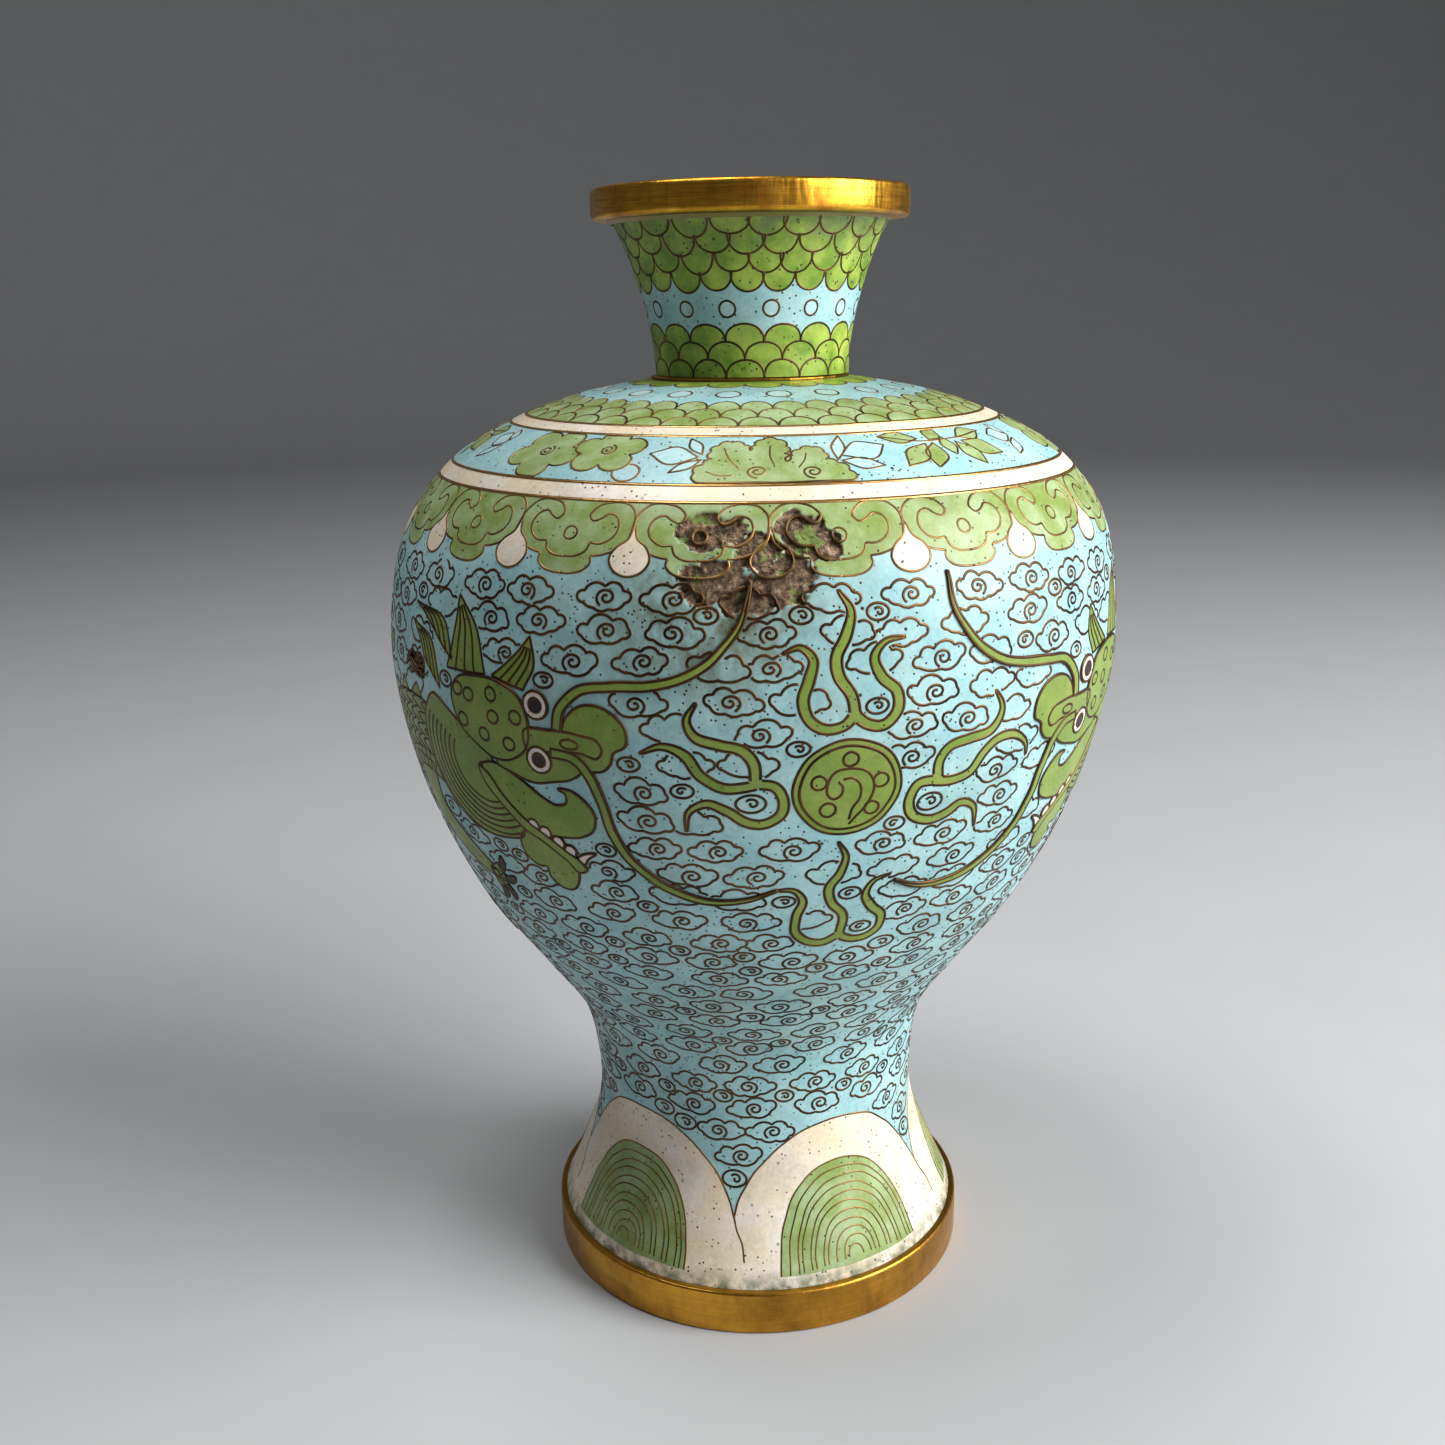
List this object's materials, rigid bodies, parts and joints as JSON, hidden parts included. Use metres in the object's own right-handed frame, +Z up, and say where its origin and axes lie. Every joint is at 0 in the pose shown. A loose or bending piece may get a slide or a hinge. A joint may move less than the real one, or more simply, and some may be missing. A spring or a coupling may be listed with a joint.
{
  "type": "cloisonne vase",
  "caption": "Baluster vase of copper with wired enamel bands, scale neck, ruyi shoulder, a dragon and cloud field, petal foot, and gilt rings at mouth and foot.",
  "frame": {"origin": "centre of the foot's resting plane, on the vase's axis", "axes": "+Z up along the axis; -Y faces the viewer, with the flaming pearl a little towards +X"},
  "size_m": [0.1324, 0.1324, 0.203],
  "materials": {
    "gilt": "satin",
    "copper": "matte",
    "solder": "matte",
    "turquoise_enamel": "gloss",
    "green_enamel": "gloss",
    "cream_enamel": "gloss",
    "lining_enamel": "satin"
  },
  "bodies": {
    "root": {"mouth_ring": "gilt", "foot_ring": "gilt", "neck_base_wire": "gilt", "lower_white_wire_lower": "gilt", "lower_white_wire_upper": "gilt", "upper_white_wire_lower": "gilt", "upper_white_wire_upper": "gilt", "foot_core": "copper", "lower_body_core": "copper", "upper_body_core": "copper", "neck_core": "copper", "base_plate": "copper", "foot_seam": "solder", "belly_seam": "solder", "neck_seam": "solder", "mouth_solder": "solder", "lappet_enamel": "cream_enamel", "waist_cloud_enamel": "turquoise_enamel", "dragon_field_enamel": "turquoise_enamel", "ruyi_band_enamel": "green_enamel", "lower_white_enamel": "cream_enamel", "floral_band_enamel": "turquoise_enamel", "upper_white_enamel": "cream_enamel", "shoulder_scale_enamel": "green_enamel", "collar_dot_enamel": "turquoise_enamel", "collar_scale_enamel": "green_enamel", "neck_lower_scale_enamel": "green_enamel", "neck_dot_enamel": "turquoise_enamel", "neck_upper_scale_enamel": "green_enamel", "lower_lining": "lining_enamel", "upper_lining": "lining_enamel", "neck_lining": "lining_enamel", "base_enamel": "lining_enamel"}
  },
  "joints": []
}
